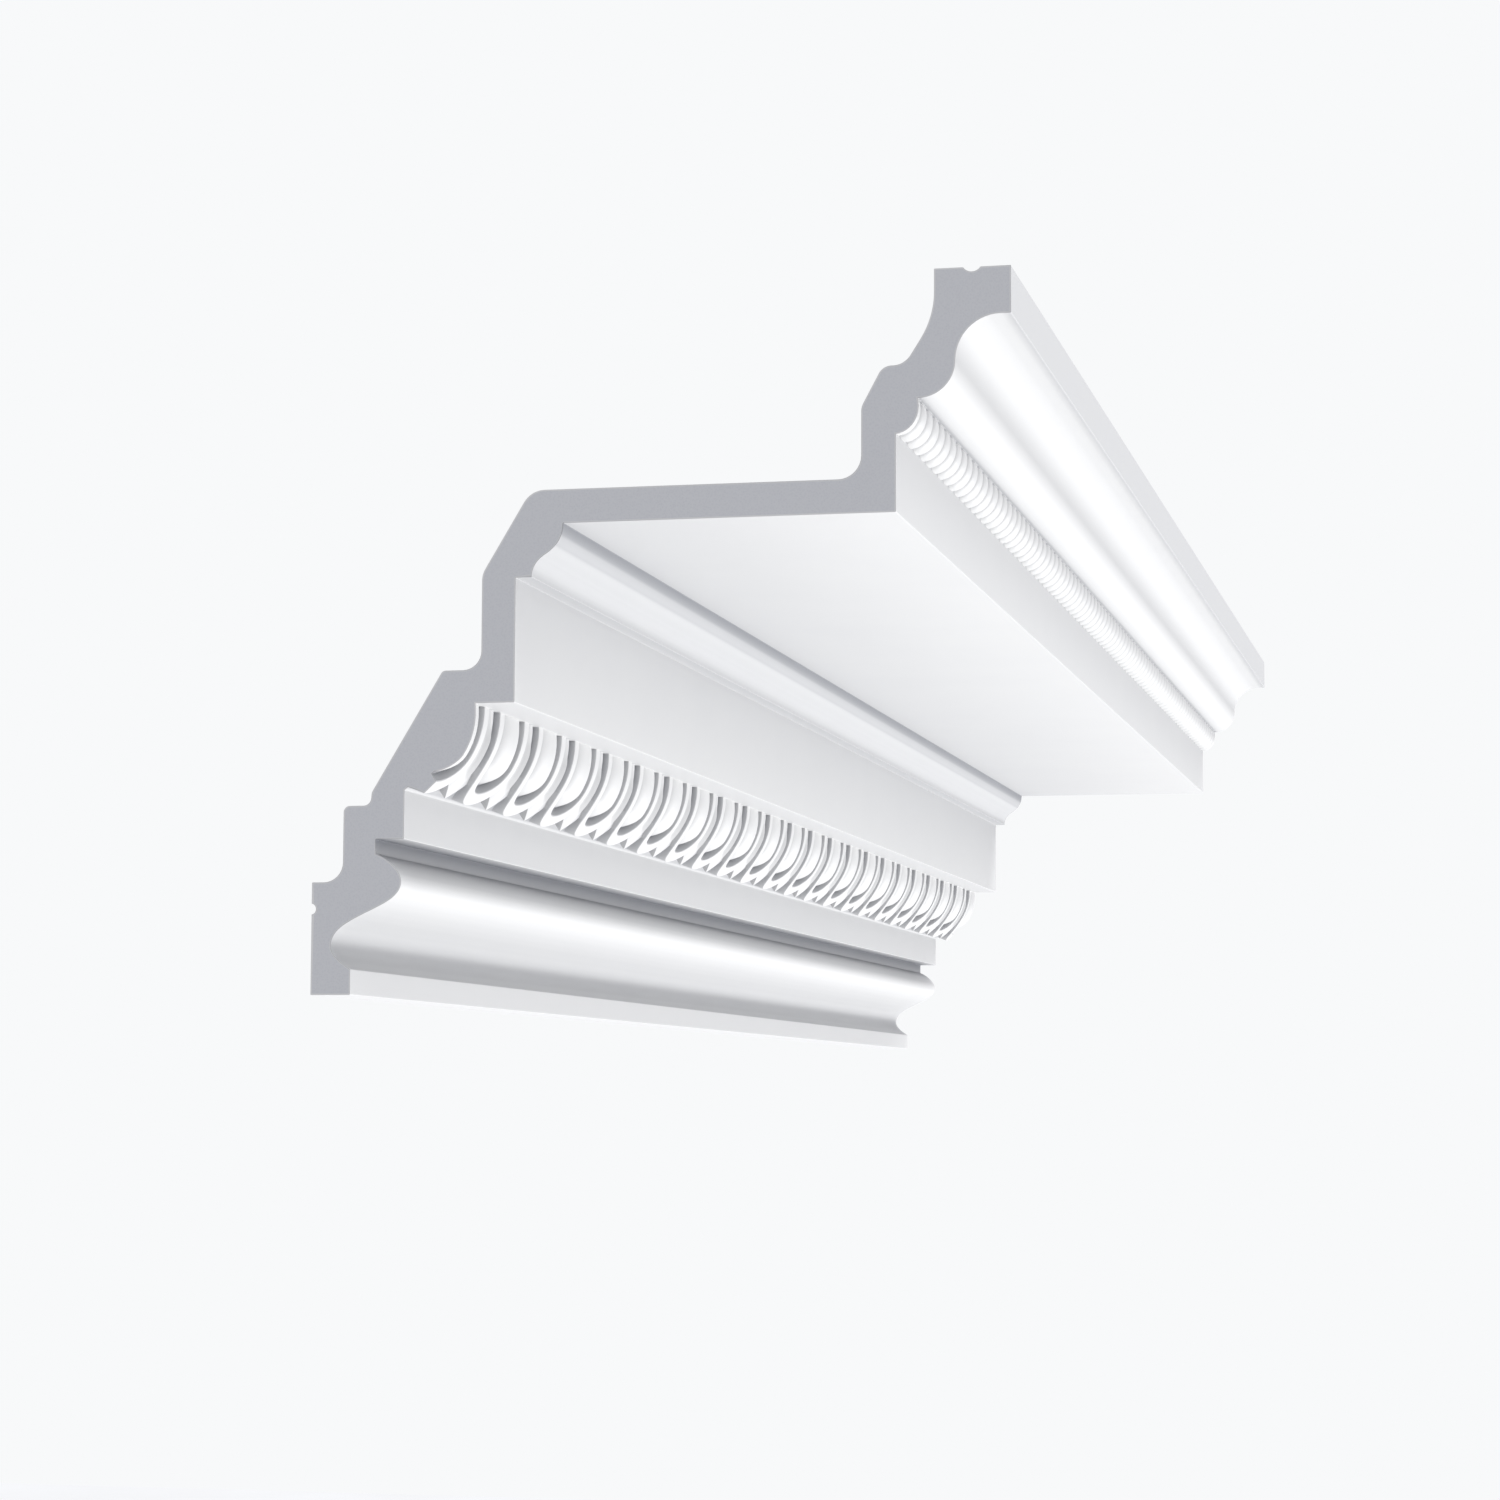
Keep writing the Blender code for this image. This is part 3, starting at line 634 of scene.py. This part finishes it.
def sprayedPrimer(p):
    # matt white factory primer sprayed on the moulded skin: even and soft, with a faint orange peel.
    # Shade is painted into the colour: it darkens towards a grey with the painted shade value, most at the
    # bottom of the grooves.
    material, tree = newMaterial("sprayed_white_primer_and_painted_shade")
    where = {"Vector": addNode(tree, "ShaderNodeTexCoord").outputs["Object"]}
    cloud = addNode(tree, "ShaderNodeTexNoise", {"Scale": perMetre(p["cloud"]), "Detail": 3.0}, where)
    tone = addNode(tree, "ShaderNodeMix", {"data_type": "RGBA"}, {0: cloud.outputs["Fac"]})
    tone.inputs[6].default_value, tone.inputs[7].default_value = linear(p["white"]), linear(p["second"])
    paintedShade = addNode(tree, "ShaderNodeAttribute", {"attribute_name": "paintedShade"})
    shade = addNode(   # not clamped, so that painted shade over 1 goes on getting darker
        tree, "ShaderNodeMix", {"data_type": "RGBA", "clamp_factor": False},
        {0: paintedShade.outputs["Fac"], 6: tone.outputs[2]},
    )
    shade.inputs[7].default_value = linear(p["shadeGrey"])
    rough = addNode(
        tree, "ShaderNodeMapRange", {"To Min": p["roughness"][0], "To Max": p["roughness"][1]},
        {"Value": cloud.outputs["Fac"]},
    )
    wave = addNode(tree, "ShaderNodeTexNoise", {"Scale": perMetre(p["waveSize"])}, where)
    slow = addNode(
        tree, "ShaderNodeBump", {"Distance": p["waveHeight"] * mm}, {"Height": wave.outputs["Fac"]},
    )
    peel = addNode(tree, "ShaderNodeTexNoise", {"Scale": perMetre(p["peel"]), "Detail": 1.0}, where)
    fine = addNode(
        tree, "ShaderNodeBump", {"Distance": p["peelHeight"] * mm},
        {"Height": peel.outputs["Fac"], "Normal": slow.outputs["Normal"]},
    )
    shader = addNode(tree, "ShaderNodeBsdfPrincipled", {}, {
        "Base Color": shade.outputs[2], "Roughness": rough.outputs["Result"],
        "Normal": fine.outputs["Normal"],
    })
    addNode(tree, "ShaderNodeOutputMaterial", {}, {"Surface": shader.outputs["BSDF"]})
    return material


def sawnFoam(f):
    # rigid foam sawn across: dull, with fine open cells and the faint upright marks of the saw's teeth
    material, tree = newMaterial("sawn_rigid_foam")
    where = {"Vector": addNode(tree, "ShaderNodeTexCoord").outputs["Object"]}
    cell = addNode(tree, "ShaderNodeTexVoronoi", {"Scale": perMetre(f["cellSize"])}, where)
    pore = addNode(
        tree, "ShaderNodeMapRange", {"From Min": f["poreEdge"][0], "From Max": f["poreEdge"][1]},
        {"Value": cell.outputs["Distance"]},
    )
    tone = addNode(tree, "ShaderNodeMix", {"data_type": "RGBA"}, {0: pore.outputs["Result"]})
    tone.inputs[6].default_value, tone.inputs[7].default_value = linear(f["cell"]), linear(f["body"])
    tooth = addNode(   # this texture is sin(20 y) at scale 1, so one of its waves is pi / 10 wide
        tree, "ShaderNodeTexWave", {
            "bands_direction": "Y", "Scale": perMetre(f["toothPitch"]) * math.pi / 10,
            "Distortion": 1.5, "Detail": 2.0,
        }, where,
    )
    marks = addNode(
        tree, "ShaderNodeBump", {"Distance": f["toothHeight"] * mm}, {"Height": tooth.outputs["Fac"]},
    )
    pits = addNode(
        tree, "ShaderNodeBump", {"Distance": f["cellHeight"] * mm},
        {"Height": pore.outputs["Result"], "Normal": marks.outputs["Normal"]},
    )
    shader = addNode(tree, "ShaderNodeBsdfPrincipled", {"Roughness": f["roughness"]}, {
        "Base Color": tone.outputs[2], "Normal": pits.outputs["Normal"],
    })
    addNode(tree, "ShaderNodeOutputMaterial", {}, {"Surface": shader.outputs["BSDF"]})
    return material


casting.materials.append(sprayedPrimer(primer))
casting.materials.append(sawnFoam(foam))
print("materials made")


studio = {
    "floorDown": 3.0, "floorHalf": 25.0, "floorCloud": 0.8,   # metres; the last is a texture scale
    "floor": "EEEEED", "backdrop": "F8F9FA", "air": "F8F9FF", "airStrength": 0.54,
    "eye": (-1.72619, -0.41572, -0.05246), "aim": (0.0, -0.03258, 0.12407), "roll": 0.166, "lens": 86.24,
    "clip": (0.05, 60.0),   # metres
    # each light: degrees from the front towards the far end, degrees above level, angular width, strength
    "lights": {"key": (50, -45, 18, 1.36), "fill": (50, -20, 18, 0.87), "top": (20, 60, 40, 2.0)},
}


def flatPlane(name, points):
    data = bpy.data.meshes.new(name)
    data.from_pydata(points, [], [(0, 1, 2, 3)])
    item = bpy.data.objects.new(name, data)
    bpy.context.scene.collection.objects.link(item)
    return item


def paleFloor(s):
    # a matt pale floor well below the piece; it casts no shadow, because the low lights shine up through it
    half, low = s["floorHalf"], -s["floorDown"]
    corners = [(-half, -half, low), (half, -half, low), (half, half, low), (-half, half, low)]
    floor = flatPlane("floor", corners)
    floor.visible_shadow = False
    material, tree = newMaterial("matt_pale_floor_paint")
    where = {"Vector": addNode(tree, "ShaderNodeTexCoord").outputs["Object"]}
    cloud = addNode(tree, "ShaderNodeTexNoise", {"Scale": s["floorCloud"], "Detail": 4.0}, where)
    tone = addNode(tree, "ShaderNodeMix", {"data_type": "RGBA"}, {0: cloud.outputs["Fac"]})
    tone.inputs[6].default_value, tone.inputs[7].default_value = linear(s["floor"]), linear(s["backdrop"])
    shader = addNode(
        tree, "ShaderNodeBsdfPrincipled", {"Roughness": 0.9}, {"Base Color": tone.outputs[2]},
    )
    addNode(tree, "ShaderNodeOutputMaterial", {}, {"Surface": shader.outputs["BSDF"]})
    floor.data.materials.append(material)


def softLight(name, turn, rise, spread, strength):
    # a distant soft source; its direction comes from the turn and rise angles
    light = bpy.data.lights.new(name, "SUN")
    light.energy, light.angle = strength, math.radians(spread)
    turn, rise = math.radians(turn), math.radians(rise)
    source = Vector((math.sin(turn) * math.cos(rise), -math.cos(turn) * math.cos(rise), math.sin(rise)))
    item = bpy.data.objects.new(name, light)
    item.location = source * 3
    item.rotation_euler = (-source).to_track_quat("-Z", "Y").to_euler()
    bpy.context.scene.collection.objects.link(item)


def studioCamera(s):
    camera = bpy.data.cameras.new("camera")
    camera.sensor_width = 36.0
    camera.lens = s["lens"]
    camera.clip_start, camera.clip_end = s["clip"]
    item = bpy.data.objects.new("camera", camera)
    look = (Vector(s["aim"]) - Vector(s["eye"])).to_track_quat("-Z", "Y").to_matrix().to_4x4()
    roll = Matrix.Rotation(math.radians(s["roll"]), 4, "Z")
    item.matrix_world = Matrix.Translation(s["eye"]) @ look @ roll
    bpy.context.scene.collection.objects.link(item)
    bpy.context.scene.camera = item


def studioAir(s):
    # an even pale surround: one brightness for the light it gives, a lighter one where it is seen
    air = bpy.data.worlds.new("air")
    air.use_nodes = True
    tree = air.node_tree
    tree.nodes.clear()
    glow = addNode(
        tree, "ShaderNodeBackground", {"Color": linear(s["air"]), "Strength": s["airStrength"]},
    )
    seen = addNode(tree, "ShaderNodeBackground", {"Color": linear(s["backdrop"])})
    path = addNode(tree, "ShaderNodeLightPath")
    both = addNode(tree, "ShaderNodeMixShader", {}, {"Fac": path.outputs["Is Camera Ray"]})
    tree.links.new(glow.outputs[0], both.inputs[1])
    tree.links.new(seen.outputs[0], both.inputs[2])
    out = addNode(tree, "ShaderNodeOutputWorld")
    tree.links.new(both.outputs[0], out.inputs["Surface"])
    bpy.context.scene.world = air


paleFloor(studio)
for name, setting in studio["lights"].items():
    softLight(name, *setting)
studioAir(studio)
studioCamera(studio)
bpy.context.scene.view_settings.view_transform = "Standard"
print("floor, light and camera set")
